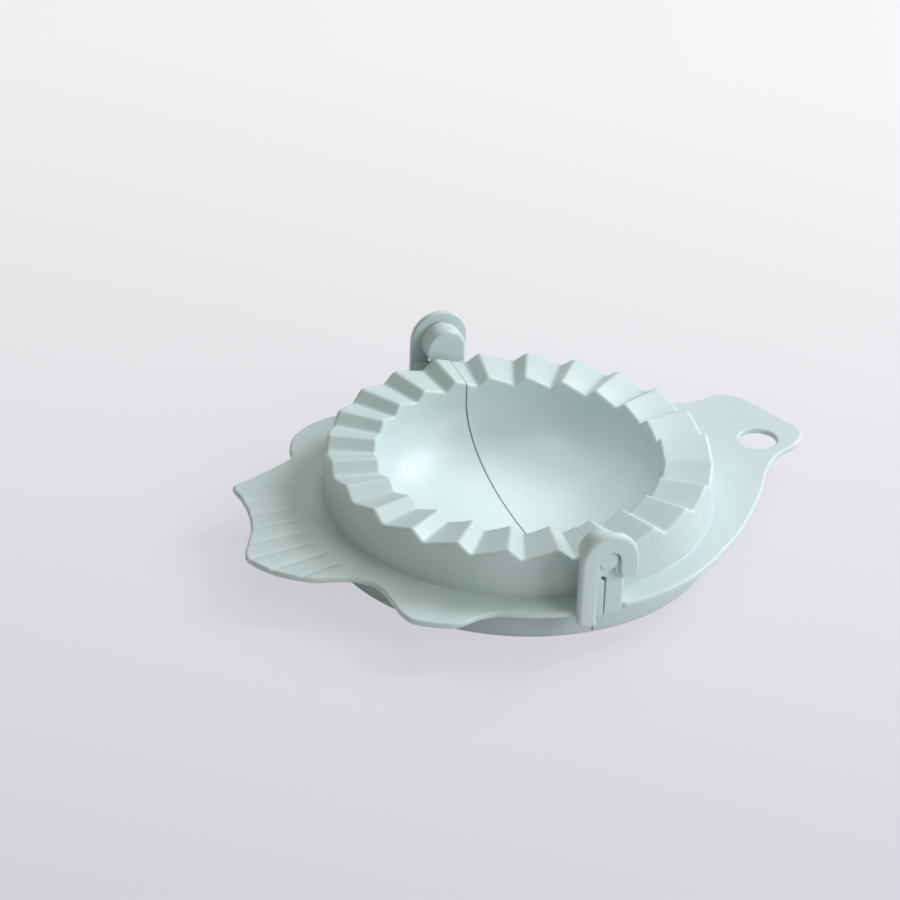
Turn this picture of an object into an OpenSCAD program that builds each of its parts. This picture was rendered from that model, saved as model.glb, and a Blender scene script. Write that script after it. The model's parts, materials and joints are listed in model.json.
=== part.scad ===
// Hinged press that folds a round of dough over its filling and crimps the edge.
// Two mouldings lie flat side by side and snap together on two hinge pins.
// The seam and the hinge line run along Y. The handle points to +X, the tail fan to -X.
// The table is at z = 0. Lengths are in millimetres, angles in degrees.

/* [Drum] */
// Outer radius of the drum at its foot
foot_r = 49.2; // [47:0.1:54]
// Outer radius of the drum at the tips of the teeth
rim_r = 48; // [45:0.1:50]
// Thickness of the drum wall
drum_wall = 1.8; // [1.2:0.1:3]

/* [Bowl] */
// Radius of the mouth of the bowl
lip_r = 35.6; // [30:0.1:39]
// Height of the inside of the bowl floor above the table
floor_z = 2.4; // [2.1:0.1:6]
// Thickness of the bowl shell
bowl_wall = 1.8; // [1.2:0.1:2]
// Fullness of the bowl section, 2 is an ellipse
bowl_fullness = 2.3; // [2:0.1:3]

/* [Crimping rim] */
// Height of the underside of the rim
rim_z = 18.9; // [15:0.1:19.5]
// Number of teeth on each half
teeth = 12; // [8:1:16]
// Height of the tooth tips at the outer edge
peak_out_z = 23.9; // [23:0.1:27]
// Height of the tooth tips at the inner edge
peak_in_z = 23.5; // [23:0.1:26]
// Drop from tip to valley at the outer edge
drop_out = 2.8; // [1:0.1:3.4]
// Drop from tip to valley at the inner edge
drop_in = 2.6; // [1:0.1:3.2]
// Share of each tooth that its steep side takes
steep_share = 0.28; // [0.16:0.02:0.44]

/* [Ledge and plates] */
// Height of the top of the ledge and of the flat plates
ledge_z = 10.8; // [9:0.1:13]
// Thickness of the ledge and of the flat plates
plate_t = 1.6; // [1.2:0.1:2.4]
// Width of the ledge past the foot of the drum
ledge_w = 6.2; // [5:0.1:8]

/* [Handle] */
// Reach of the handle past the ledge
handle_out = 25.6; // [20:0.1:40]
// Radius of the hanging hole
hole_r = 4.8; // [3:0.1:6]
// Distance from the nose of the handle to the middle of the hanging hole
hole_inset = 12.5; // [10:0.1:14]
// Offset of the hanging hole to the back
hole_y = 6; // [4:0.1:9]

/* [Tail] */
// Reach of the tail fan past the ledge
tail_out = 18.6; // [17:0.1:30]
// Reach of the larger fin past the ledge
fin_out = 9.6; // [8:0.1:13]
// Reach of the smaller fin past the ledge
small_fin_out = 5.8; // [4:0.1:8]
// Number of grooves in the fan
grooves = 8; // [4:1:10]
// Radius of the section of a groove
groove_r = 1; // [0.7:0.1:1.4]
// Depth of a groove
groove_depth = 0.25; // [0.2:0.05:0.6]

/* [Hinge] */
// Radius of the hinge pins
pin_r = 2.6; // [2:0.05:3]
// Outer radius of the hooks round the pins
hook_r = 7.5; // [6.4:0.1:8.4]
// Thickness of the hooks along the hinge line
hook_t = 2.2; // [2:0.1:4]
// Width of the mouth between the two lips that a pin snaps past
mouth_w = 3.6; // [2.5:0.1:3.9]
// How far the lips stand inside the outer face of the hook
lip_inset = 1.2; // [0.4:0.1:1.4]
// How far the end of a pin stands inside the outer face of its hook
pin_inset = 0.9; // [0:0.1:1.2]
// Length of the short leg of a hook under the hinge line
short_leg = 5; // [4:0.1:6]
// Depth of the long leg along the hinge line
leg_depth = 3.4; // [3:0.1:5]
// How far the long leg reaches below the top of the ledge
leg_drop = 3.4; // [2:0.1:5]
// Radius of the lugs that carry the pins
lug_r = 5.2; // [4.4:0.1:5.6]
// How far the outer face of a lug stands inside the edge of the ledge
lug_inset = 0.4; // [0:0.1:1.5]
// How far the lugs and the posts reach below the top of the ledge
lug_drop = 2.4; // [1:0.1:4]
// Depth of the notch between a lug and the drum, below the hinge line
notch_drop = 3.7; // [3:0.1:4.5]
// Radius of the corners of the legs
corner_r = 1.4; // [0.6:0.1:1.6]

/* [Clearances] */
// Room left for the dough between the outer edges of the closed rims
dough_gap = 4.4; // [3:0.1:6]
// Width of the seam between the halves
seam_gap = 0.4; // [0.2:0.05:0.6]
// Radial clearance of the pins in the hooks
pin_gap = 0.08; // [0.04:0.01:0.1]
// Gap between a lug and its hook along the hinge line
side_gap = 0.2; // [0.1:0.05:0.5]
// Gap between the rim and a lug along the hinge line
rim_gap = 1.3; // [0.6:0.1:2]
// Gap between the top of a post and the lug that turns over it
post_gap = 0.7; // [0.3:0.1:1.5]

/* [Hidden] */
$fn = 96;
mint = [0.79, 0.88, 0.88];
front = -1;
back = 1;
handle_side = 1;
tail_side = -1;
half_seam = seam_gap / 2;
ledge_r = foot_r + ledge_w;
hinge_z = peak_out_z - drop_out / 2 + dough_gap / 2;
lug_y0 = rim_r + rim_gap;
lug_y1 = ledge_r - lug_inset;
hook_y0 = lug_y1 + side_gap;
hook_y1 = hook_y0 + hook_t;
bore_r = pin_r + pin_gap;
foot_leg_z = ledge_z - leg_drop;
foot_lug_z = ledge_z - lug_drop;
post_z = hinge_z - lug_r - post_gap;
notch_z = hinge_z - notch_drop;
leg_in_x = bore_r + 0.1;
slot_x = bore_r + 0.05;
tip_corner_r = 0.6 * corner_r;
far = 200;

// Radius of the tapered drum at a height
function drum_r(z) = foot_r + (rim_r - foot_r) * z / peak_out_z;

// Point at an angle, a distance past the edge of the ledge
function past_ledge(angle, out) = (ledge_r + out) * [cos(angle), sin(angle)];

// Smooth curve through the points between the first and the last
function between(a, b, c, d, t) = 0.5 * (2 * b + (c - a) * t + (2 * a - 5 * b + 4 * c - d) * t * t
    + (3 * b - a - 3 * c + d) * t * t * t);
function curve(p, steps = 5) = [for (i = [1 : len(p) - 3], k = [0 : steps - 1])
    between(p[i - 1], p[i], p[i + 1], p[i + 2], k / steps)];

// Outline of the handle, from the front of the ledge round the nose to the back
nose_x = ledge_r + handle_out;
handle_outline = curve([
    past_ledge(-62, -2), past_ledge(-52, -0.7), past_ledge(-37, 1.2), past_ledge(-19, 5.2),
    [nose_x - 16, -8], [nose_x - 10.5, -2.6], [nose_x - 3.5, 1.2], [nose_x, 6.6],
    [nose_x - 1.6, 12], [nose_x - 5, 20.5], [nose_x - 8, 26.5], [nose_x - 13, 29.8],
    [nose_x - 18.5, 28.6], [nose_x - 24, 28.6],
    past_ledge(35, 4.4), past_ledge(43, 1.8), past_ledge(52, -0.7), past_ledge(62, -2)]);

// Outline of the tail, from the front of the ledge round the larger fin, the fan and the smaller fin
tip_x = -ledge_r - tail_out;
tail_outline = curve([
    past_ledge(250, -1.5), past_ledge(244, -0.4), past_ledge(239, 2.4), past_ledge(234, fin_out - 2),
    past_ledge(226, fin_out), past_ledge(222, fin_out - 1.4), past_ledge(218, fin_out - 4.6),
    past_ledge(213, 1.8), past_ledge(209, 1.2), past_ledge(204.5, 3.4),
    [tip_x + 16, -23], [tip_x + 11, -21.5], [tip_x + 4.5, -16.5], [tip_x + 0.5, -10.5],
    [tip_x, -6], [tip_x + 5, 4], [tip_x + 7, 11.5], [tip_x + 7.5, 18.5], [tip_x + 7.4, 24.2],
    [tip_x + 11.5, 26], past_ledge(152, 7), past_ledge(146, 3.2),
    past_ledge(142, small_fin_out - 1.4), past_ledge(136, small_fin_out),
    past_ledge(129, small_fin_out - 0.8), past_ledge(122, 2.6), past_ledge(116, -0.4),
    past_ledge(110, -1.5)]);

// The part stands with the middle of its footprint at the origin
shift_x = -(max([for (p = handle_outline) p.x]) + min([for (p = tail_outline) p.x])) / 2;

module placed() {
    translate([shift_x, 0, 0])
        children();
}

// All that lies on one side of the seam
module half_space(side) {
    mirror([side < 0 ? 1 : 0, 0, 0])
        translate([half_seam, -far / 2, -far / 2])
            cube([far, far, far]);
}

// The same piece at the back, or mirrored to the front
module at_end(end) {
    mirror([0, end < 0 ? 1 : 0, 0])
        children();
}

// A side view in X and Z, drawn out along the hinge line
module drawn_out(y0, y1) {
    translate([0, y1, 0])
        rotate([90, 0, 0])
            linear_extrude(height = y1 - y0)
                children();
}

// Rectangle from one corner to the other
module span(x0, z0, x1, z1) {
    translate([x0, z0])
        square([x1 - x0, z1 - z0]);
}

// Solid body inside the outer face of the drum
module drum_body() {
    translate([0, 0, -2])
        cylinder(h = peak_out_z + 6, r1 = drum_r(-2), r2 = drum_r(peak_out_z + 4));
}

// Half of the tapered wall, from the table to the underside of the rim
module wall(side) {
    intersection() {
        rotate_extrude()
            polygon([[drum_r(0) - drum_wall, 0], [drum_r(0), 0],
                     [drum_r(rim_z), rim_z], [drum_r(rim_z) - drum_wall, rim_z]]);
        half_space(side);
    }
}

// Section of the bowl, at a distance outside its inner face
function bowl_section(out, steps = 14) = [for (i = [0 : steps])
    let (a = 90 * i / steps, e = 2 / bowl_fullness)
    [(lip_r + out) * pow(cos(a), e), rim_z - (rim_z - floor_z + out) * pow(sin(a), e)]];
function backwards(p) = [for (i = [len(p) - 1 : -1 : 0]) p[i]];

module bowl(side) {
    intersection() {
        rotate_extrude()
            polygon(concat(bowl_section(0), backwards(bowl_section(bowl_wall))));
        half_space(side);
    }
}

// Height of the crimped face at an angle from the seam's back end, as a share of the drop
pitch = 180 / teeth;
first_peak = 0.6;
function below_tip(n) = let (u = n - first_peak - floor(n - first_peak), gentle = 1 - steep_share)
    u < gentle ? u / gentle : (1 - u) / steep_share;
// Teeth are counted from the back end, with a station at each end, tip and valley
tooth_ends = concat([0, first_peak - steep_share],
    [for (i = [0 : teeth - 2], k = [0, 1 - steep_share]) first_peak + i + k],
    [teeth - 1 + first_peak, teeth]);

// Face height at the inner or the outer edge, the tail half fits the gaps of the handle half
function face_z(n, side, peak, drop) = side > 0 ? peak - drop * below_tip(n)
    : peak - drop * (1 - below_tip(n));
in_r = lip_r - 4;
out_r = ledge_r;
function along(z_in, z_out, r) = z_in + (z_out - z_in) * (r - lip_r) / (rim_r - lip_r);
function station(n, side) = let (a = 90 - n * pitch,
        z_in = face_z(n, side, peak_in_z, drop_in), z_out = face_z(n, side, peak_out_z, drop_out))
    [[in_r * cos(a), in_r * sin(a), rim_z - 3],
     [in_r * cos(a), in_r * sin(a), along(z_in, z_out, in_r)],
     [out_r * cos(a), out_r * sin(a), along(z_in, z_out, out_r)],
     [out_r * cos(a), out_r * sin(a), rim_z - 3]];

// Everything under the crimped face of one half
module under_teeth(side) {
    last = len(tooth_ends) - 1;
    mirror([side < 0 ? 1 : 0, 0, 0])
        polyhedron(
            points = [for (n = tooth_ends) each station(n, side)],
            faces = concat([[3, 2, 1], [3, 1, 0]],
                [for (i = [0 : last - 1], k = [0 : 3], t = [0, 1])
                    let (a = 4 * i + k, b = 4 * i + (k + 1) % 4)
                    t == 0 ? [a, b, a + 4] : [b, b + 4, a + 4]],
                [[4 * last, 4 * last + 1, 4 * last + 2], [4 * last, 4 * last + 2, 4 * last + 3]]));
}

module crimp_rim(side) {
    top = max(peak_in_z, peak_out_z) + 2;
    intersection() {
        rotate_extrude()
            polygon([[lip_r, rim_z], [drum_r(rim_z), rim_z], [drum_r(top), top], [lip_r, top]]);
        half_space(side);
        under_teeth(side);
    }
}

// Side views of the hinge pieces
module lug_leg_view() {
    span(half_seam, foot_lug_z + corner_r, lug_r, hinge_z);
    span(half_seam, foot_lug_z, lug_r - corner_r, hinge_z);
    translate([lug_r - corner_r, foot_lug_z + corner_r])
        circle(corner_r);
}

module post_view() {
    span(-lug_r, foot_lug_z, -half_seam, post_z);
}

module long_leg_view(top) {
    span(-hook_r, foot_leg_z + corner_r, -leg_in_x, top);
    span(-hook_r + corner_r, foot_leg_z, -leg_in_x, top);
    translate([-hook_r + corner_r, foot_leg_z + corner_r])
        circle(corner_r);
}

// Hook open at the bottom, narrowed by two lips under the pin
module hook_view() {
    low_z = hinge_z - short_leg;
    difference() {
        union() {
            translate([0, hinge_z])
                circle(hook_r);
            span(-hook_r, low_z, hook_r - tip_corner_r, hinge_z);
            span(-hook_r, low_z + tip_corner_r, hook_r, hinge_z);
            translate([hook_r - tip_corner_r, low_z + tip_corner_r])
                circle(tip_corner_r);
            long_leg_view(hinge_z);
        }
        translate([0, hinge_z])
            circle(bore_r);
        span(-mouth_w / 2, low_z - 1, mouth_w / 2, hinge_z);
        polygon([[0, low_z + 1.5], [mouth_w / 2, low_z + 1.5], [mouth_w / 2 + 2, low_z - 0.5], [0, low_z - 0.5]]);
        translate([0, hinge_z - hook_r - 1])
            span(-leg_in_x, -far, hook_r + 1, hook_r + 1 - short_leg);
    }
}

// Block that holds the pin, joined to the drum below the notch
module lug(end) {
    at_end(end)
        difference() {
            union() {
                drawn_out(lug_y0, lug_y1) {
                    translate([0, hinge_z])
                        circle(lug_r);
                    lug_leg_view();
                }
                drawn_out(lip_r, lug_y0)
                    intersection() {
                        lug_leg_view();
                        span(0, 0, lug_r, notch_z);
                    }
            }
            drum_body();
        }
}

module pin(end) {
    at_end(end)
        drawn_out(lug_y1, hook_y1 - pin_inset)
            translate([0, hinge_z])
                circle(pin_r);
}

// Hook over the pin, with its lips set back, its long leg and the post that ties it to the drum
module hook(end) {
    at_end(end)
        difference() {
            union() {
                drawn_out(hook_y0, hook_y1)
                    hook_view();
                drawn_out(hook_y1 - leg_depth, hook_y0)
                    long_leg_view(post_z);
                drawn_out(lip_r, lug_y1)
                    post_view();
            }
            drawn_out(hook_y1 - lip_inset, far)
                span(-slot_x, hinge_z - short_leg - 1, slot_x, hinge_z - 0.5);
            drum_body();
        }
}

// Room that the hinge pieces take out of the ledge
module hinge_room(side, end) {
    at_end(end)
        if (side > 0) {
            drawn_out(lip_r, far)
                span(0, 0, lug_r, ledge_z + 1);
        } else {
            drawn_out(lip_r, far)
                span(-lug_r, 0, 0, ledge_z + 1);
            drawn_out(hook_y1 - leg_depth, far)
                span(-hook_r, 0, 0, ledge_z + 1);
        }
}

// Flat ring round the drum
module ledge(side) {
    difference() {
        intersection() {
            translate([0, 0, ledge_z - plate_t])
                cylinder(h = plate_t, r = ledge_r);
            half_space(side);
        }
        drum_body();
        hinge_room(side, front);
        hinge_room(side, back);
    }
}

// Flat plate inside an outline, outside the ledge
module plate(outline) {
    difference() {
        translate([0, 0, ledge_z - plate_t])
            linear_extrude(height = plate_t)
                polygon(concat([[0, 0]], outline));
        translate([0, 0, ledge_z - plate_t - 1])
            cylinder(h = plate_t + 2, r = ledge_r);
    }
}

// Grooves that fan out to the end of the tail
module fan_grooves() {
    for (i = [0 : grooves - 1])
        let (t = i / (grooves - 1))
            translate([-sqrt(pow(ledge_r + 1, 2) - pow(-17 + 37 * t, 2)), -17 + 37 * t,
                       ledge_z - groove_depth + groove_r])
                rotate([0, 0, 16 - 28 * t]) {
                    sphere(r = groove_r);
                    rotate([0, -90, 0])
                        cylinder(h = tail_out + 10, r = groove_r);
                }
}

module handle_bowl() {
    color(mint)
        placed()
            bowl(handle_side);
}

module handle_crimp_rim() {
    color(mint)
        placed()
            crimp_rim(handle_side);
}

module handle_wall() {
    color(mint)
        placed()
            wall(handle_side);
}

module handle_ledge() {
    color(mint)
        placed()
            ledge(handle_side);
}

module handle_plate() {
    color(mint)
        placed()
            difference() {
                plate(handle_outline);
                translate([nose_x - hole_inset, hole_y, ledge_z - plate_t - 1])
                    cylinder(h = plate_t + 2, r = hole_r);
            }
}

module hinge_lug_front() {
    color(mint)
        placed()
            lug(front);
}

module hinge_lug_back() {
    color(mint)
        placed()
            lug(back);
}

module hinge_pin_front() {
    color(mint)
        placed()
            pin(front);
}

module hinge_pin_back() {
    color(mint)
        placed()
            pin(back);
}

module tail_bowl() {
    color(mint)
        placed()
            bowl(tail_side);
}

module tail_crimp_rim() {
    color(mint)
        placed()
            crimp_rim(tail_side);
}

module tail_wall() {
    color(mint)
        placed()
            wall(tail_side);
}

module tail_ledge() {
    color(mint)
        placed()
            ledge(tail_side);
}

module tail_fan() {
    color(mint)
        placed()
            difference() {
                plate(tail_outline);
                fan_grooves();
            }
}

module hinge_hook_front() {
    color(mint)
        placed()
            hook(front);
}

module hinge_hook_back() {
    color(mint)
        placed()
            hook(back);
}

handle_bowl();
handle_crimp_rim();
handle_wall();
handle_ledge();
handle_plate();
hinge_lug_front();
hinge_lug_back();
hinge_pin_front();
hinge_pin_back();
tail_bowl();
tail_crimp_rim();
tail_wall();
tail_ledge();
tail_fan();
hinge_hook_front();
hinge_hook_back();
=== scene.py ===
import json
import math

import bmesh
import bpy
import numpy as np
from mathutils import Matrix, Vector


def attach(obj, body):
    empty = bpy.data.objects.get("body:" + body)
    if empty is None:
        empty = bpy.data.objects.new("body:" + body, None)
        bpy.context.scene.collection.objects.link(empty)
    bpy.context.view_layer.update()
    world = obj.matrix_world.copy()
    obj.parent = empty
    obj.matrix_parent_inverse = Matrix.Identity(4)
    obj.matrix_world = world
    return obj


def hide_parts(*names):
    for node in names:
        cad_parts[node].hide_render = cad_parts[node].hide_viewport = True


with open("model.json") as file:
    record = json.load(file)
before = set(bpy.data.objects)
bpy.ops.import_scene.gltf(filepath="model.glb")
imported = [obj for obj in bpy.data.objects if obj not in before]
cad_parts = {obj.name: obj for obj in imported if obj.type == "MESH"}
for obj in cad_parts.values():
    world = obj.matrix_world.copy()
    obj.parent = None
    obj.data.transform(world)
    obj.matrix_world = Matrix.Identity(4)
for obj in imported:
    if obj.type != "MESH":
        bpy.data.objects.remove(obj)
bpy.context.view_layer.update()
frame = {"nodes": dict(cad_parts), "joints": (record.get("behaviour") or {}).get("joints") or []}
hingeX, _, hingeZ = frame["joints"][0]["pos_m"]  # the hinge line runs along Y through this point
mm = 0.001
mergeWithin = 0.002  # millimetres between points that become one

# The camera comes first: angles in degrees, lengths in millimetres from the hinge line's foot on the table,
# and the nearest and farthest depth that it shows in metres
cameraSet = {
    "azimuth": -22.9534, "elevation": 30.9998, "roll": 2.88405,
    "right": 16.3872, "up": -19.8487, "distance": 1219.841,
    "lens": 195.0974, "sensor": 36, "nearest": 0.05, "farthest": 20,
}


# Unit vector from the press towards something at this azimuth and elevation, given in degrees
def headingOf(azimuth, elevation):
    az, el = math.radians(azimuth), math.radians(elevation)
    return Vector((math.sin(az) * math.cos(el), -math.cos(az) * math.cos(el), math.sin(el)))


# Three axes, right, up and back, turned by the azimuth, the elevation and then the roll
def makeCamera(s):
    roll = math.radians(s["roll"])
    back = headingOf(s["azimuth"], s["elevation"])
    right = Vector((0, 0, 1)).cross(back).normalized()
    up = back.cross(right)
    right, up = (math.cos(roll) * right + math.sin(roll) * up,
                 math.cos(roll) * up - math.sin(roll) * right)
    place = (-s["right"] * right - s["up"] * up + s["distance"] * back) * mm
    data = bpy.data.cameras.new("photoCamera")
    data.lens, data.sensor_width, data.sensor_fit = s["lens"], s["sensor"], "AUTO"
    data.clip_start, data.clip_end = s["nearest"], s["farthest"]
    cam = bpy.data.objects.new("photoCamera", data)
    cam.matrix_world = Matrix((right, up, back)).transposed().to_4x4()
    cam.matrix_world.translation = place + Vector((hingeX, 0, 0))
    bpy.context.scene.collection.objects.link(cam)
    bpy.context.scene.camera = cam


makeCamera(cameraSet)
print("camera placed")

# Moulded plastic: two close shades, roughness with its drift either way, and sizes in metres
plastic = {
    "colour": (0.630, 0.738, 0.738), "shade": (0.594, 0.703, 0.701),
    "roughness": 0.42, "drift": 0.06,
    "cloudSize": 0.02, "grainSize": 0.00025, "grainHeight": 0.06,
    "ior": 1.49, "lightIn": 0.12, "lightDepth": 0.003, "lightSpread": (0.8, 1.0, 1.0),
}


# A node with its input values and settings in one call
def addNode(tree, kind, inputs=None, **settings):
    n = tree.nodes.new(kind)
    for k, v in settings.items():
        setattr(n, k, v)
    for k, v in (inputs or {}).items():
        n.inputs[k].default_value = v
    return n


# Links between pairs of an output and an input
def wire(tree, *pairs):
    for source, target in pairs:
        tree.links.new(source, target)


# A new material's empty node tree with its output node
def emptyMaterial(name):
    mat = bpy.data.materials.new(name)
    mat.use_nodes = True
    mat.node_tree.nodes.clear()
    return mat, mat.node_tree, addNode(mat.node_tree, "ShaderNodeOutputMaterial")


# Soft cloudy mask at one size and fine mould grain at another, both on object coordinates
def mouldedSurface():
    g = bpy.data.node_groups.new("mouldedSurface", "ShaderNodeTree")
    for name, low, high in (("Cloud Scale", 1, 5000), ("Grain Scale", 1, 20000), ("Grain Height", 0, 1)):
        s = g.interface.new_socket(name, in_out="INPUT", socket_type="NodeSocketFloat")
        s.min_value, s.max_value = low, high
    g.interface.new_socket("Cloud", in_out="OUTPUT", socket_type="NodeSocketFloat")
    g.interface.new_socket("Normal", in_out="OUTPUT", socket_type="NodeSocketVector")
    gin, gout = addNode(g, "NodeGroupInput"), addNode(g, "NodeGroupOutput")
    place = addNode(g, "ShaderNodeTexCoord")
    cloud = addNode(g, "ShaderNodeTexNoise", {"Detail": 4.0, "Roughness": 0.55})
    grain = addNode(g, "ShaderNodeTexNoise", {"Detail": 2.0, "Roughness": 0.6})
    smooth = addNode(g, "ShaderNodeMapRange", {"From Min": 0.32, "From Max": 0.68},
                     interpolation_type="SMOOTHSTEP")  # the middle of the noise, drawn out to the full mask
    bump = addNode(g, "ShaderNodeBump", {"Distance": 0.00003})
    wire(g,
         (place.outputs["Object"], cloud.inputs["Vector"]),
         (place.outputs["Object"], grain.inputs["Vector"]),
         (gin.outputs["Cloud Scale"], cloud.inputs["Scale"]),
         (gin.outputs["Grain Scale"], grain.inputs["Scale"]),
         (gin.outputs["Grain Height"], bump.inputs["Strength"]),
         (grain.outputs["Fac"], bump.inputs["Height"]),
         (cloud.outputs["Fac"], smooth.inputs["Value"]),
         (smooth.outputs["Result"], gout.inputs["Cloud"]),
         (bump.outputs["Normal"], gout.inputs["Normal"]))
    return g


# Satin plastic: shade and roughness drift with the cloud mask, and a little light gets in
def mintMaterial(s):
    mat, t, out = emptyMaterial("mintPlastic")
    skin = addNode(t, "ShaderNodeBsdfPrincipled",
                   {"IOR": s["ior"], "Subsurface Weight": s["lightIn"],
                    "Subsurface Scale": s["lightDepth"], "Subsurface Radius": s["lightSpread"]})
    group = addNode(t, "ShaderNodeGroup", node_tree=mouldedSurface())
    group.inputs["Cloud Scale"].default_value = 1 / s["cloudSize"]
    group.inputs["Grain Scale"].default_value = 1 / s["grainSize"]
    group.inputs["Grain Height"].default_value = s["grainHeight"]
    tint = addNode(t, "ShaderNodeMix", {"A": (*s["colour"], 1), "B": (*s["shade"], 1)}, data_type="RGBA")
    rough = addNode(t, "ShaderNodeMapRange",
                    {"To Min": s["roughness"] - s["drift"], "To Max": s["roughness"] + s["drift"]})
    wire(t,
         (group.outputs["Cloud"], tint.inputs["Factor"]),
         (tint.outputs["Result"], skin.inputs["Base Color"]),
         (group.outputs["Cloud"], rough.inputs["Value"]),
         (rough.outputs["Result"], skin.inputs["Roughness"]),
         (group.outputs["Normal"], skin.inputs["Normal"]),
         (skin.outputs["BSDF"], out.inputs["Surface"]))
    return mat


mint = mintMaterial(plastic)
for node in frame["nodes"].values():
    node.data.materials.clear()
    node.data.materials.append(mint)
print("material made")


# A mesh in millimetres about the hinge line's foot, moved to the part's own frame. Points in one place are
# merged and every face is turned outwards. Faces with more than four corners are flat ends.
def addPiece(name, points, faces, body, nodes=(), sharp=35):
    p = np.asarray(points, float).reshape(-1, 3) * mm + (hingeX, 0, 0)
    mesh = bpy.data.meshes.new(name)
    mesh.from_pydata(p.tolist(), [], [list(map(int, f)) for f in faces])
    b = bmesh.new()
    b.from_mesh(mesh)
    bmesh.ops.remove_doubles(b, verts=b.verts, dist=mergeWithin * mm)
    bmesh.ops.recalc_face_normals(b, faces=b.faces)
    for f in b.faces:
        f.smooth = len(f.verts) <= 4
    b.to_mesh(mesh)
    b.free()
    mesh.validate()
    mesh.set_sharp_from_angle(angle=math.radians(sharp))
    mesh.materials.append(mint)
    piece = bpy.data.objects.new(name, mesh)
    bpy.context.scene.collection.objects.link(piece)
    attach(piece, body)
    if nodes:
        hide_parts(*nodes)
    return piece


# Quads between neighbouring rows and columns of a grid of vertex numbers
def gridFaces(ids, wrapRows=False, wrapColumns=False):
    a = np.vstack([ids, ids[:1]]) if wrapRows else ids
    a = np.hstack([a, a[:, :1]]) if wrapColumns else a
    return np.stack([a[:-1, :-1], a[:-1, 1:], a[1:, 1:], a[1:, :-1]], -1).reshape(-1, 4)


# Vectors divided by their lengths
def unit(v):
    return v / np.maximum(np.linalg.norm(v, axis=-1, keepdims=True), 1e-12)


# Arc that touches both sides of a corner. The three points may be whole rows of points.
def roundCorner(before, corner, after, radius, steps):
    a, b = unit(before - corner), unit(after - corner)
    half = np.arccos(np.clip((a * b).sum(-1, keepdims=True), -1, 1)) / 2
    centre = corner + unit(a + b) * radius / np.sin(half)
    d1 = corner + a * radius / np.tan(half) - centre
    d2 = corner + b * radius / np.tan(half) - centre
    s = np.linspace(0, 1, steps).reshape((-1,) + (1,) * d1.ndim)
    swing = np.pi - 2 * half
    return centre + (np.sin((1 - s) * swing) * d1 + np.sin(s * swing) * d2) / np.sin(swing)


# Closed outline with every corner rounded by its own radius: rows of x, z, radius
def outlineOf(corners, steps=7):
    c = np.array(corners, float)
    p, r = c[:, :2], c[:, 2]
    n = len(p)
    return np.concatenate([roundCorner(p[i - 1], p[i], p[(i + 1) % n], r[i], steps) for i in range(n)])


# Smooth curve through the points between the first and the last, with their neighbours as guides: a cubic
# between each two points, whose slope at a point follows the line between the points beside it
def smoothCurve(p, steps):
    p = np.array(p, float)
    a, b, c, d = p[:-3, None], p[1:-2, None], p[2:-1, None], p[3:, None]
    t = np.linspace(0, 1, steps, endpoint=False)[None, :, None]
    q = 0.5 * (2 * b + (c - a) * t + (2 * a - 5 * b + 4 * c - d) * t ** 2 + (3 * b - a - 3 * c + d) * t ** 3)
    return q.reshape(-1, 2)


# Rows of points at shares of the way between two rows of points
def spread(a, b, shares):
    w = np.array(shares).reshape(-1, 1, 1)
    return a * (1 - w) + b * w


# Radii, heights and widths in millimetres. A tooth's fall and rise are shares of its width, crease is the
# angle in degrees over which a tip or a valley is rounded, and the rows and columns set the mesh's fineness.
drum = {
    "foot": 49.2, "rim": 48.0, "wall": 1.8, "lip": 35.6, "rimUnder": 18.9,
    "floor": 2.4, "shell": 1.8, "fullness": 2.3, "seam": 0.2,
    "teeth": 12, "peakOut": 23.9, "peakIn": 23.5, "dropOut": 2.8, "dropIn": 2.6,
    "steep": 0.28, "firstPeak": 0.6, "crease": 0.85,
    "lipRound": 0.7, "edgeRound": 0.95, "footRound": 0.5,
    "bowlRows": 34, "columnStep": 1.0, "clusterReach": 2.6, "creaseSamples": 13,
}


# Outer radius of the tapered wall at a height: from the foot's to the rim's along a straight line
def drumRadius(z, s=drum):
    return s["foot"] + (s["rim"] - s["foot"]) * z / s["peakOut"]


# Share of the drop at an angle: a long gentle fall to each valley, then a short steep rise to the next tip.
# A running mean over a small angle rounds the creases.
def belowTip(angle, s):
    shift = np.linspace(-1, 1, s["creaseSamples"])[:, None] * s["crease"]
    n = (90 - (angle + shift)) / (180 / s["teeth"]) - s["firstPeak"]
    u = n - np.floor(n)
    return np.where(u < 1 - s["steep"], u / (1 - s["steep"]), (1 - u) / s["steep"]).mean(0)


# Angles of the columns: evenly spaced, with a cluster at each crease of the teeth and at the seam's two ends
def drumAngles(s):
    pitch = 180 / s["teeth"]
    tips = 90 - (np.arange(s["teeth"]) + s["firstPeak"]) * pitch
    creases = np.concatenate([tips, tips + s["steep"] * pitch])
    cluster = np.array([-2, -1.4, -1, -0.6, -0.25, 0, 0.25, 0.6, 1, 1.4, 2]) * s["crease"]
    even = np.arange(-90, 90.5, s["columnStep"])
    even = even[np.abs(even[:, None] - creases).min(1) > s["clusterReach"] * s["crease"]]
    ends = np.array([-90, -89.93, -89.8, -89.55, 89.55, 89.8, 89.93, 90])
    a = np.unique(np.round(np.concatenate([even, (creases[:, None] + cluster).ravel(), ends]), 4))
    return a[np.abs(a) <= 90]


# Half of a full ellipse-like curve, from the middle of the floor to the lip, whose power is above two
def bowlSection(out, s):
    a = np.linspace(math.pi / 2, 0, s["bowlRows"])
    r = (s["lip"] + out) * np.cos(a) ** (2 / s["fullness"])
    z = s["rimUnder"] - (s["rimUnder"] - s["floor"] + out) * np.sin(a) ** (2 / s["fullness"])
    return np.stack([np.maximum(r, s["seam"] + 1e-4), z], -1)  # stays clear of the seam's plane


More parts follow.
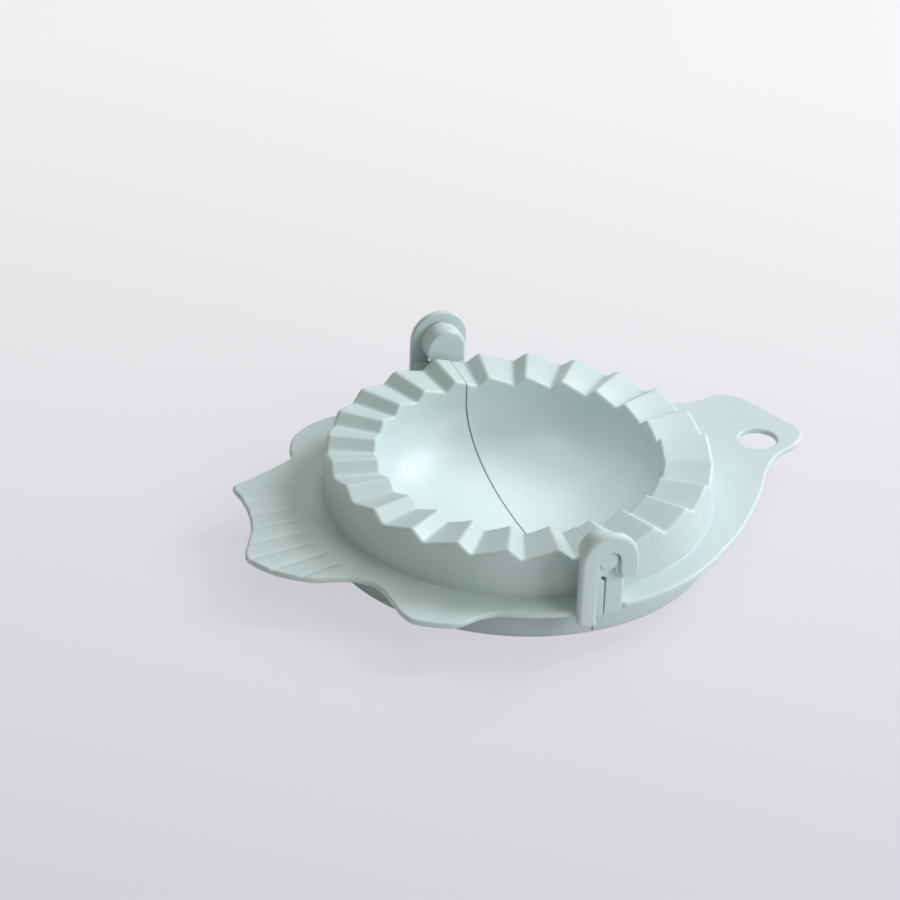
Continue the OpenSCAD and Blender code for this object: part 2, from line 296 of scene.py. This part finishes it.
# Bowl, toothed rim and wall in one skin: sections in radius and height, turned through half a circle. Each
# section is an upper chain and an under chain with as many rows, so that the seam faces are strips.
def makeDrum(name, side, body, nodes, s=drum):
    angle = drumAngles(s)
    cols = len(angle)
    fall = belowTip(angle, s)
    if side < 0:
        fall = 1 - fall  # the other half's tips stand where this half's valleys are
    lipZ, outZ = s["peakIn"] - s["dropIn"] * fall, s["peakOut"] - s["dropOut"] * fall
    line = lambda r, z: np.stack([np.broadcast_to(r, (cols,)), np.broadcast_to(z, (cols,))], -1).astype(float)
    bowlTop = np.repeat(bowlSection(0, s)[:, None], cols, 1)
    lipFoot, lipTop = line(s["lip"], s["rimUnder"]), line(s["lip"], lipZ)
    outTop, foot = line(drumRadius(outZ), outZ), line(s["foot"], 0)
    lipArc = roundCorner(lipFoot, lipTop, outTop, s["lipRound"], 7)
    outArc = roundCorner(lipTop, outTop, foot, s["edgeRound"], 8)
    footIn = line(s["foot"] - s["wall"], 0)
    footArc = roundCorner(outTop, foot, footIn, s["footRound"], 6)
    rimTop = np.concatenate([spread(lipFoot, lipArc[0], [0.4, 0.8]), lipArc,
                             spread(lipArc[-1], outArc[0], [0.02, 0.1, 0.3, 0.5, 0.7, 0.9, 0.98]), outArc])
    wallTop = np.concatenate([spread(outArc[-1], footArc[0], [0.02, 0.08, 0.25, 0.4, 0.55, 0.7, 0.85, 0.98]),
                              footArc, spread(footArc[-1], footIn, [0.6])])
    upper = np.concatenate([bowlTop, rimTop, wallTop])
    bowlUnder = np.repeat(bowlSection(s["shell"], s)[:, None], cols, 1)
    corner = line(drumRadius(s["rimUnder"]) - s["wall"], s["rimUnder"])
    rimUnder = spread(line(s["lip"] + s["shell"], s["rimUnder"]), corner, np.linspace(0.05, 1, len(rimTop)))
    wallUnder = spread(corner, footIn, np.linspace(0.02, 1, len(wallTop)))
    under = np.concatenate([bowlUnder, rimUnder, wallUnder])

    chains = np.stack([upper, under])  # chain, row, column, (radius, height)
    r, z = chains[..., 0], chains[..., 1]
    limit = np.arccos(np.clip(s["seam"] / r, -1, 1))  # keeps the seam faces flat
    turn = angle / 90 * limit
    p = np.stack([side * r * np.cos(turn), r * np.sin(turn), z], -1)
    rows = p.shape[1]
    ids = np.arange(2 * rows * cols).reshape(2, rows, cols)
    faces = [gridFaces(ids[0]), gridFaces(ids[1]), gridFaces(np.stack([ids[0, -1], ids[1, -1]]))]
    faces += [gridFaces(np.stack([ids[1, :, c], ids[0, :, c]])) for c in (0, -1)]
    return addPiece(name, p, np.concatenate(faces), body, nodes)


makeDrum("handleDrum", 1, "handle_half", ["handle_bowl", "handle_crimp_rim", "handle_wall"])
makeDrum("tailDrum", -1, "tail_half", ["tail_bowl", "tail_crimp_rim", "tail_wall"])
print("drums made")

# Flat ring round the drum, and the plates that grow out of it. Each half's end is how far from the seam the
# ring stops for the hinge.
flange = {
    "edge": 55.4, "top": 10.8, "thick": 1.6, "round": 0.7, "fillet": 0.4, "underFillet": 0.5, "intoWall": 0.6,
    "spacing": 0.45, "blend": 0.25, "blendReach": 3, "nick": 1.3, "nickWide": 1.2,
    "curveSteps": 24, "bearings": 6000, "flatRows": 26,
}
handle = {
    "out": 25.6, "end": 4.9, "holeInset": 12.5, "holeY": 6.0, "holeRadius": 4.8, "holeRound": 0.65,
    "blockRoom": 0.5, "blockWide": 0.9,
}
tail = {
    "out": 18.6, "end": 5.2, "fin": 9.6, "smallFin": 5.8,
    "grooves": 8, "firstY": -17.0, "lastY": 20.0, "firstTurn": 16.0, "lastTurn": -12.0,
    "grooveDepth": 0.25, "grooveWidth": 0.7, "grooveStart": 1.0, "grooveRise": 2.0,
}


# A point at this angle in degrees, so far out past the ring's edge
def pastLedge(angle, out):
    a = math.radians(angle)
    return [(flange["edge"] + out) * math.cos(a), (flange["edge"] + out) * math.sin(a)]


noseX = flange["edge"] + handle["out"]
handlePoints = [
    pastLedge(-62, -2), pastLedge(-52, -0.7), pastLedge(-37, 1.2), pastLedge(-19, 5.2),
    [noseX - 16, -8], [noseX - 10.5, -2.6], [noseX - 3.5, 1.2], [noseX, 6.6],
    [noseX - 1.6, 12], [noseX - 5, 20.5], [noseX - 8, 26.5], [noseX - 13, 29.8],
    [noseX - 18.5, 28.6], [noseX - 24, 28.6],
    pastLedge(35, 4.4), pastLedge(43, 1.8), pastLedge(52, -0.7), pastLedge(62, -2),
]
tipX = -flange["edge"] - tail["out"]
fin, smallFin = tail["fin"], tail["smallFin"]
tailPoints = [
    pastLedge(250, -1.5), pastLedge(244, -0.4), pastLedge(239, 2.4), pastLedge(234, fin - 2),
    pastLedge(226, fin), pastLedge(222, fin - 1.4), pastLedge(218, fin - 4.6),
    pastLedge(213, 1.8), pastLedge(209, 1.2), pastLedge(204.5, 3.4),
    [tipX + 16, -23], [tipX + 11, -21.5], [tipX + 4.5, -16.5], [tipX + 0.5, -10.5],
    [tipX, -6], [tipX + 5, 4], [tipX + 7, 11.5], [tipX + 7.5, 18.5], [tipX + 7.4, 24.2],
    [tipX + 11.5, 26], pastLedge(152, 7), pastLedge(146, 3.2),
    pastLedge(142, smallFin - 1.4), pastLedge(136, smallFin),
    pastLedge(129, smallFin - 0.8), pastLedge(122, 2.6), pastLedge(116, -0.4),
    pastLedge(110, -1.5),
]


# Edge of the flange as evenly spaced points, by angle from the middle of the half: the ledge's circle and the
# plate's smooth outline, whichever reaches farther, with a soft change between them. At the hinge the edge is
# drawn in by the square of how near it is to its end.
def plateOutline(points, side, end, s=flange):
    q = smoothCurve(points, s["curveSteps"])
    a = np.arctan2(q[:, 1], side * q[:, 0])
    order = np.argsort(a)
    last = math.acos(end / s["edge"])
    fine = np.linspace(-last, last, s["bearings"])
    r = np.interp(fine, a[order], np.hypot(q[:, 0], q[:, 1])[order], left=0, right=0)
    past = r - s["edge"]
    soft = s["blend"] ** 2 * (np.abs(past) < s["blendReach"])
    r = np.maximum((r + s["edge"] + np.sqrt(past ** 2 + soft)) / 2, s["edge"])
    r -= s["nick"] * np.clip(1 - (r * np.cos(fine) - end) / s["nickWide"], 0, 1) ** 2
    x, y = r * np.cos(fine), r * np.sin(fine)
    length = np.concatenate([[0], np.cumsum(np.hypot(np.diff(x), np.diff(y)))])
    even = np.linspace(0, length[-1], int(length[-1] / s["spacing"]))
    return np.stack([np.interp(even, length, x), np.interp(even, length, y)], -1)


# Depth of shallow rounded channels along straight lines that fan out over the tail. Each starts just past
# the ledge with a smooth rise and runs out over the end.
def grooveDepth(x, y, s=tail):
    t = np.linspace(0, 1, s["grooves"])
    y0 = s["firstY"] + (s["lastY"] - s["firstY"]) * t
    x0 = np.sqrt((flange["edge"] + s["grooveStart"]) ** 2 - y0 ** 2)
    turn = np.radians(s["firstTurn"] + (s["lastTurn"] - s["firstTurn"]) * t)
    dx, dy = x[..., None] - x0, y[..., None] - y0
    far = dx * np.cos(turn) - dy * np.sin(turn)
    off = dx * np.sin(turn) + dy * np.cos(turn)
    start = np.clip((far + s["grooveRise"] / 2) / s["grooveRise"], 0, 1)
    channel = s["grooveDepth"] * np.exp(-(off / s["grooveWidth"]) ** 2)
    return (channel * start ** 2 * (3 - 2 * start)).sum(-1)


# Flat ring and plate: a section that starts on the drum's wall, runs out flat, rounds over the edge and comes
# back underneath, carried along the outline. Columns lie along rays from the middle.
def makeFlange(name, side, points, end, body, nodes, hole=None, grooved=False, s=flange):
    edge = plateOutline(points, side, end)
    cols = len(edge)
    ray = unit(edge)
    along = unit(np.gradient(edge, axis=0))
    out = np.stack([along[:, 1], -along[:, 0]], -1)
    out *= np.sign((out * ray).sum(-1, keepdims=True))
    topZ, lowZ, rho = s["top"], s["top"] - s["thick"], s["round"]
    topR, lowR, fillet, low = drumRadius(topZ), drumRadius(lowZ), s["fillet"], s["underFillet"]
    turn = np.linspace(0, math.pi / 2, 6)[:, None]
    back = turn[::-1]
    level = lambda xy, z: np.concatenate([xy, np.broadcast_to(z, xy.shape[:-1])[..., None]], -1)
    shares = np.concatenate([[0.01], np.linspace(0.05, 0.97, s["flatRows"]), [0.99]])[:, None, None]
    inner = edge - out * rho
    wallTop = level((ray * (topR - s["intoWall"]))[None], topZ + fillet)
    filletTop = level(ray * (topR + fillet * (1 - np.cos(turn)))[..., None],
                      topZ + fillet * (1 - np.sin(turn)))
    flatTop = level(ray * (topR + fillet) * (1 - shares) + inner * shares, topZ)
    over = level(inner + out * (rho * np.sin(turn))[..., None], topZ - rho * (1 - np.cos(turn)))
    below = level(inner + out * (rho * np.sin(back))[..., None], lowZ + rho * (1 - np.cos(back)))
    flatLow = level(ray * (lowR + low) * (1 - shares[::-1]) + inner * shares[::-1], lowZ)
    filletLow = level(ray * (lowR + low * (1 - np.cos(back)))[..., None], lowZ - low * (1 - np.sin(back)))
    wallLow = level((ray * (lowR - s["intoWall"]))[None], lowZ - low)
    p = np.concatenate([wallTop, filletTop, flatTop, over, below, flatLow, filletLow, wallLow])
    topRow = 1 + len(turn)
    lowRow = topRow + len(shares) + 2 * len(turn)
    if grooved:
        upper = slice(topRow, topRow + len(shares) + 4)  # the flat rows and the first of the rounded edge
        p[upper, :, 2] -= grooveDepth(p[upper, :, 0], p[upper, :, 1])
    ids = np.arange(p.shape[0] * cols).reshape(p.shape[:2])
    cells = gridFaces(ids, wrapRows=True)
    ends = [list(ids[:, 0]), list(ids[:, -1])]
    p = p.reshape(-1, 3)
    if hole:
        p, cells = cutHole(p, ids, cells, hole, topRow, lowRow, len(shares))
    return addPiece(name, p * (side, 1, 1), [list(f) for f in cells] + ends, body, nodes)


# Takes the same block of cells round the hole out of both flat faces, and fills it with rings: from the
# block's edge to the circle, over the rounded brim, through the plate and out again below
def cutHole(points, ids, cells, s, topRow, lowRow, rows):
    cx, cy, radius, brim = s["x"], s["y"], s["radius"], s["brim"]
    top, low = ids[topRow:topRow + rows], ids[lowRow:lowRow + rows][::-1]
    grid = points[top]
    bearing = np.arctan2(grid[0, :, 1], grid[0, :, 0])
    mid, half = math.atan2(cy, cx), (radius + brim + s["wide"]) / math.hypot(cx, cy)
    c0, c1 = np.searchsorted(bearing, mid - half) - 1, np.searchsorted(bearing, mid + half) + 1
    nearest = np.hypot(grid[:, c0:c1 + 1, 0] - cx, grid[:, c0:c1 + 1, 1] - cy).min(1)
    clear = nearest > radius + brim + s["room"]
    middle = grid[:, (c0 + c1) // 2]
    within = np.hypot(middle[:, 0], middle[:, 1]) < math.hypot(cx, cy)
    r0, r1 = np.where(clear & within)[0].max(), np.where(clear & ~within)[0].min()
    loops = [np.concatenate([g[r0, c0:c1], g[r0:r1, c1], g[r1, c1:c0:-1], g[r1:r0:-1, c0]])
             for g in (top, low)]
    edges = points[loops[0]], points[loops[1]]
    heading = unit(edges[0][:, :2] - (cx, cy))[None]
    turn = np.linspace(0, math.pi / 2, 7)[:, None, None]
    wide = (cx, cy) + heading * (radius + brim)
    over = (cx, cy) + heading * (radius + brim * (1 - np.sin(turn)))
    rings = []
    for edge, sign in zip(edges, (1, -1)):
        fill = spread(edge[None, :, :2], wide, [0.25, 0.5, 0.75, 0.93])
        z = edge[0, 2] - sign * brim * (1 - np.cos(turn[..., 0]))
        side = np.concatenate([np.concatenate([fill, np.full(fill.shape[:2] + (1,), edge[0, 2])], -1),
                               np.concatenate([over, np.broadcast_to(z, over.shape[:2])[..., None]], -1)])
        rings.append(side[::sign])
    added = np.concatenate(rings)
    bore = len(points) + np.arange(added.shape[0] * added.shape[1]).reshape(added.shape[:2])
    bore = np.vstack([loops[0], bore, loops[1]])
    keep = np.ones((ids.shape[0], ids.shape[1] - 1), bool)
    keep[topRow + r0:topRow + r1, c0:c1] = False
    keep[lowRow + rows - 1 - r1:lowRow + rows - 1 - r0, c0:c1] = False
    return (np.concatenate([points, added.reshape(-1, 3)]),
            np.concatenate([cells[keep.ravel()], gridFaces(bore, wrapColumns=True)]))


hangingHole = {
    "x": noseX - handle["holeInset"], "y": handle["holeY"], "radius": handle["holeRadius"],
    "brim": handle["holeRound"], "room": handle["blockRoom"], "wide": handle["blockWide"],
}
makeFlange("handleFlange", 1, handlePoints, handle["end"], "handle_half", ["handle_ledge", "handle_plate"],
           hole=hangingHole)
makeFlange("tailFlange", -1, tailPoints, tail["end"], "tail_half", ["tail_ledge", "tail_fan"], grooved=True)
print("flanges made")

# Side view in millimetres: x from the hinge line, z from the table. Inside and all that end in Inner or Outer
# are distances along the hinge line from its middle. The lips' two ends and the lug's turn are in degrees.
hinge = {
    "z": hingeZ / mm, "pin": 2.6, "slot": 2.72, "hook": 7.5, "lug": 5.2, "mouth": 3.6,
    "shortLeg": 5.0, "legFoot": 7.4, "lugFoot": 8.4, "postTop": 18.8, "notch": 21.0, "seam": 0.15,
    "lugInner": 49.3, "lugOuter": 55.0, "hookInner": 55.2, "hookOuter": 57.4, "legInner": 54.0,
    "lipOuter": 56.2, "pinOuter": 56.5, "pinRoot": 1.0, "inside": 46.8, "rootDepth": 1.3,
    "corner": 1.4, "tipCorner": 0.84, "slotCorner": 0.5, "blockCorner": 1.2, "lipCorner": 0.25,
    "hookRound": 1.15, "slotRound": 0.35, "backRound": 0.3, "legRound": 1.3, "lugRound": 1.15,
    "legInset": 0.7, "postWidth": 4.0, "lipGap": 0.04, "lipLow": 48.5, "lipHigh": 20,
    "lugTurn": 264, "seamRound": 0.25, "sink": 0.02,
}


# Closed outline in x and z, drawn out along the hinge line, with its two rims rounded by insets along the
# outline's own normals. rounds gives the radius at y0 and at y1, or one per point, and on a tight outward
# corner it is held to a share of the corner's own radius, which is the edge length over the turn.
def extruded(name, outline, y0, y1, end, body, nodes=(), rounds=(0.3, 0.3), steps=6):
    o = np.asarray(outline, float)
    ahead, behind = np.roll(o, -1, 0) - o, o - np.roll(o, 1, 0)
    along = unit(unit(ahead) + unit(behind))
    normal = np.stack([along[:, 1], -along[:, 0]], -1)
    way = np.sign((o[:, 0] * np.roll(o[:, 1], -1) - o[:, 1] * np.roll(o[:, 0], -1)).sum())
    normal *= way
    a, b = unit(behind), unit(ahead)
    bend = way * np.arctan2(a[:, 0] * b[:, 1] - a[:, 1] * b[:, 0], (a * b).sum(-1))
    edge = np.minimum(np.linalg.norm(ahead, axis=-1), np.linalg.norm(behind, axis=-1))
    flat, sharpest, share = 0.05, 1, 0.8  # only bends between the first two, in radians, hold the rims
    tightest = np.where((bend > flat) & (bend < sharpest), share * edge / np.maximum(bend, flat), np.inf)
    tightest = np.minimum(tightest, np.minimum(np.roll(tightest, 1), np.roll(tightest, -1)))
    turn = np.linspace(0, math.pi / 2, steps)[:, None]
    rims = []
    for y, inward, rho in ((y0, 1, rounds[0]), (y1, -1, rounds[1])):
        rho = np.minimum(rho, tightest)[None]
        xz = o - normal * (rho * (1 - np.sin(turn)))[..., None]
        depth = y + inward * rho * (1 - np.cos(turn))
        rims.append(np.stack([xz[..., 0], end * depth, xz[..., 1]], -1)[::inward])
    p = np.concatenate(rims)
    ids = np.arange(p.shape[0] * p.shape[1]).reshape(p.shape[:2])
    faces = [list(f) for f in gridFaces(ids, wrapColumns=True)] + [list(ids[0]), list(ids[-1])]
    return addPiece(name, p, faces, body, nodes)


# Points on a circle about x, z between two angles in degrees
def arc(x, z, radius, start, stop, steps):
    a = np.radians(np.linspace(start, stop, steps))
    return np.stack([x + radius * np.cos(a), z + radius * np.sin(a)], -1)


# Hook over the pin: from the end of its short leg round the head to the foot of its long leg, and back up the
# slot and round the pin. Its two lips below the pin are thinner pieces of their own.
def makeHook(end, tag, s):
    z, hook, slot = s["z"], s["hook"], s["slot"]
    low, corner, tip, inset = z - s["shortLeg"], s["corner"], s["tipCorner"], s["slotCorner"]
    outer = np.concatenate([
        arc(hook - tip, low + tip, tip, -90, 0, 9), arc(0, z, hook, 0, 180, 48),
        arc(-hook + corner, s["legFoot"] + corner, corner, 180, 270, 9)])
    inner = np.concatenate([
        arc(-slot - inset, s["legFoot"] + inset, inset, -90, 0, 5),
        [[-slot, s["legFoot"] + 0.8], [-slot, s["legFoot"] + 2], [-slot, low - 2]],
        arc(0, z, slot, 180, 0, 30), [[slot, low + 2.6], [slot + 0.25, low + 1.4], [slot + 0.9, low]]])
    rounding = np.concatenate([np.full(len(outer), s["hookRound"]), np.full(len(inner), s["slotRound"])])
    rounding[9:12] = 0.85, 0.95, 1.05  # eases in above the short leg's corner
    rounding[len(outer):len(outer) + 8] = s["legRound"]
    profile = np.concatenate([outer, inner])
    # the back rim stays square beside the slot, where the leg's block carries on
    besideBlock = (abs(profile[:, 0] + slot) < 0.01) & (profile[:, 1] < s["postTop"])
    backRim = np.where(besideBlock, 0.0, s["backRound"])
    extruded("hook" + tag, profile, s["hookInner"], s["hookOuter"], end, "tail_half",
             ["hinge_hook_" + tag.lower()], (backRim, rounding), 8)


# Block behind the hook's long leg, which ties it to the drum
def makeLegBlock(end, tag, s):
    side, slot, corner = -s["hook"] + s["legInset"], s["slot"], s["corner"]
    inset, top = s["slotCorner"], s["blockCorner"]
    leg = np.concatenate([
        arc(side + corner, s["legFoot"] + corner, corner, 180, 270, 9),
        arc(-slot - inset, s["legFoot"] + inset, inset, -90, 0, 5), [[-slot, s["postTop"]]],
        arc(side + top, s["postTop"] - top, top, 90, 180, 7)])
    extruded("hookLeg" + tag, leg, s["legInner"], s["hookInner"], end, "tail_half",
             rounds=(s["backRound"], 0.0))


# Two lips that hold the pin from below: each follows the pin for a part of a turn and ends at the mouth
def makeLips(end, tag, s):
    z, slot, low = s["z"], s["slot"], s["z"] - s["shortLeg"]
    corner, mouth, about = s["lipCorner"], s["mouth"] / 2, s["slot"] - s["lipGap"]
    leftLip = np.concatenate([
        [[-slot - 0.3, low + 0.2]], arc(-mouth - corner, low + corner, corner, -90, 0, 5),
        arc(0, z, about, 180 + s["lipLow"], 180 + s["lipHigh"], 8), [[-slot - 0.3, z - 1]]])
    rightLip = np.concatenate([
        [[mouth + 1.6, low + 0.2], [slot + 0.5, low + 1.6], [slot + 0.3, z - 1]],
        arc(0, z, about, -s["lipHigh"], -s["lipLow"], 8),
        arc(mouth + corner, low + 1.6, corner, 180, 225, 4)])
    for name, lip in (("leftLip", leftLip), ("rightLip", rightLip)):
        extruded(name + tag, lip, s["hookInner"] + s["sink"], s["lipOuter"], end, "tail_half",
                 rounds=(0.02, 0.2))


# Post beside the seam, from the drum out to the hook: a rounded box
def makePost(end, tag, s):
    far, near, foot, top = -s["postWidth"], -s["seam"], s["lugFoot"], s["postTop"]
    post = outlineOf([[far, foot, 0.4], [near, foot, 0.3], [near, top, 1.1], [far, top, 0.3]])
    extruded("hookPost" + tag, post, s["inside"], s["lugOuter"], end, "tail_half", rounds=(0.1, 0.4))


# Lug that carries the pin: a round head about the pin's axis on a straight leg beside the seam, with a root
# that goes into the drum
def makeLug(end, tag, s):
    z, lug, seam, foot, corner = s["z"], s["lug"], s["seam"], s["lugFoot"], s["corner"]
    outline = np.concatenate([
        arc(lug - corner, foot + corner, corner, -90, 0, 9), arc(0, z, lug, 0, s["lugTurn"], 60),
        [[seam, z - lug - 0.25], [seam, z - lug - 1.2], [seam, foot + 1.2]],
        arc(seam + 0.3, foot + 0.3, 0.3, 180, 270, 5)])
    rim = np.where(outline[:, 0] < 0.6, s["seamRound"], s["lugRound"])  # narrow beside the seam, wide outside
    extruded("lug" + tag, outline, s["lugInner"], s["lugOuter"], end, "handle_half",
             ["hinge_lug_" + tag.lower()], (rim, rim), 8)
    near, low, far, top = seam + s["sink"], foot + s["sink"], lug - s["sink"], s["notch"]
    root = outlineOf([[near, low, 0.3], [far, low, corner], [far, top, 0.8], [near, top, 0.3]])
    extruded("lugRoot" + tag, root, s["inside"], s["lugInner"] + s["rootDepth"], end, "handle_half",
             rounds=(0.1, 0.1))


# Pin: a circle drawn out from inside the lug to its rounded end
def makePin(end, tag, s):
    circle = arc(0, s["z"], s["pin"], 0, 360, 65)[:-1]
    extruded("pin" + tag, circle, s["lugOuter"] - s["pinRoot"], s["pinOuter"], end, "handle_half",
             ["hinge_pin_" + tag.lower()], (0.1, 0.45))


for end, tag in ((-1, "Front"), (1, "Back")):
    for makePart in (makeHook, makeLegBlock, makeLips, makePost, makeLug, makePin):
        makePart(end, tag, hinge)
print("hinges made")

# The sheet's own glow runs from the near tone to the far one between two distances in metres
stage = {
    "sheet": (0.72, 0.72, 0.73), "reach": 3.0,
    "glowNear": (0.675, 0.675, 0.735), "glowFar": (0.975, 0.975, 0.99), "glow": 0.72,
    "near": -0.19, "far": 0.26,
    "world": (1.0, 1.0, 0.93), "worldStrength": 0.285,
}
# Angles in degrees, distances and sizes in metres, and the power in watts
lamps = {
    "key": {"azimuth": 103, "elevation": 38, "distance": 1.0, "size": 0.38, "power": 6.3,
            "colour": (0.93, 0.955, 1.0)},
    "front": {"azimuth": 38, "elevation": 26, "distance": 0.9, "size": 0.45, "power": 3.1,
              "colour": (1.0, 1.0, 1.0)},
    "back": {"azimuth": 158, "elevation": 55, "distance": 1.2, "size": 0.6, "power": 2.3,
             "colour": (1.0, 1.0, 1.0)},
    "bowl": {"azimuth": -90, "elevation": 80, "distance": 0.9, "size": 0.02, "power": 12.5,
             "colour": (1.0, 1.0, 1.0), "cone": 4.8, "aim": (0.009, 0.002, 0.008)},
}


# Pale sheet that takes the shadow. What the camera sees is mostly its own even tone, which darkens a little
# towards the front, so that the lamps' falloff doesn't show.
def makeFloor(s):
    d = s["reach"]
    mesh = bpy.data.meshes.new("floor")
    mesh.from_pydata([(-d, -d, 0), (d, -d, 0), (d, d, 0), (-d, d, 0)], [], [(0, 1, 2, 3)])
    floor = bpy.data.objects.new("floor", mesh)
    bpy.context.scene.collection.objects.link(floor)
    mat, t, out = emptyMaterial("paleSheet")
    skin = addNode(t, "ShaderNodeBsdfDiffuse", {"Color": (*s["sheet"], 1)})
    even = addNode(t, "ShaderNodeEmission")
    both = addNode(t, "ShaderNodeMixShader")
    seen = addNode(t, "ShaderNodeLightPath")
    either = addNode(t, "ShaderNodeMath", operation="MAXIMUM")
    share = addNode(t, "ShaderNodeMath", {1: s["glow"]}, operation="MULTIPLY")
    place = addNode(t, "ShaderNodeTexCoord")
    turn = addNode(t, "ShaderNodeMapping", {"Rotation": (0, 0, math.radians(-cameraSet["azimuth"]))})
    split = addNode(t, "ShaderNodeSeparateXYZ")
    ramp = addNode(t, "ShaderNodeMapRange", {"From Min": s["near"], "From Max": s["far"]})
    tint = addNode(t, "ShaderNodeMix", {"A": (*s["glowNear"], 1), "B": (*s["glowFar"], 1)}, data_type="RGBA")
    wire(t,
         (place.outputs["Object"], turn.inputs["Vector"]),
         (turn.outputs["Vector"], split.inputs["Vector"]),
         (split.outputs["Y"], ramp.inputs["Value"]),
         (ramp.outputs["Result"], tint.inputs["Factor"]),
         (tint.outputs["Result"], even.inputs["Color"]),
         (seen.outputs["Is Camera Ray"], either.inputs[0]),
         (seen.outputs["Is Glossy Ray"], either.inputs[1]),
         (either.outputs[0], share.inputs[0]),
         (share.outputs[0], both.inputs["Fac"]),
         (skin.outputs["BSDF"], both.inputs[1]),
         (even.outputs["Emission"], both.inputs[2]),
         (both.outputs["Shader"], out.inputs["Surface"]))
    mesh.materials.append(mat)


# Soft light that looks at the press or at its own aim: a square one, or a round one behind a cone
def makeLamp(name, s):
    back = headingOf(s["azimuth"], s["elevation"])
    data = bpy.data.lights.new(name, "SPOT" if "cone" in s else "AREA")
    data.energy, data.color = s["power"], s["colour"]
    if "cone" in s:
        data.shadow_soft_size, data.spot_size, data.spot_blend = s["size"] / 2, math.radians(s["cone"]), 1
    else:
        data.size = s["size"]
    lamp = bpy.data.objects.new(name, data)
    lamp.location = Vector(s.get("aim", (0, 0, 0))) + back * s["distance"]
    lamp.rotation_mode = "QUATERNION"
    lamp.rotation_quaternion = (-back).to_track_quat("-Z", "Y")
    bpy.context.scene.collection.objects.link(lamp)


# Even light from all sides
def makeWorld(s):
    world = bpy.data.worlds.new("studio")
    world.use_nodes = True
    air = world.node_tree.nodes["Background"]
    air.inputs["Color"].default_value = (*s["world"], 1)
    air.inputs["Strength"].default_value = s["worldStrength"]
    bpy.context.scene.world = world


makeFloor(stage)
for lampName, lampSet in lamps.items():
    makeLamp(lampName, lampSet)
makeWorld(stage)
bpy.context.scene.view_settings.view_transform = "Standard"
print("stage made")
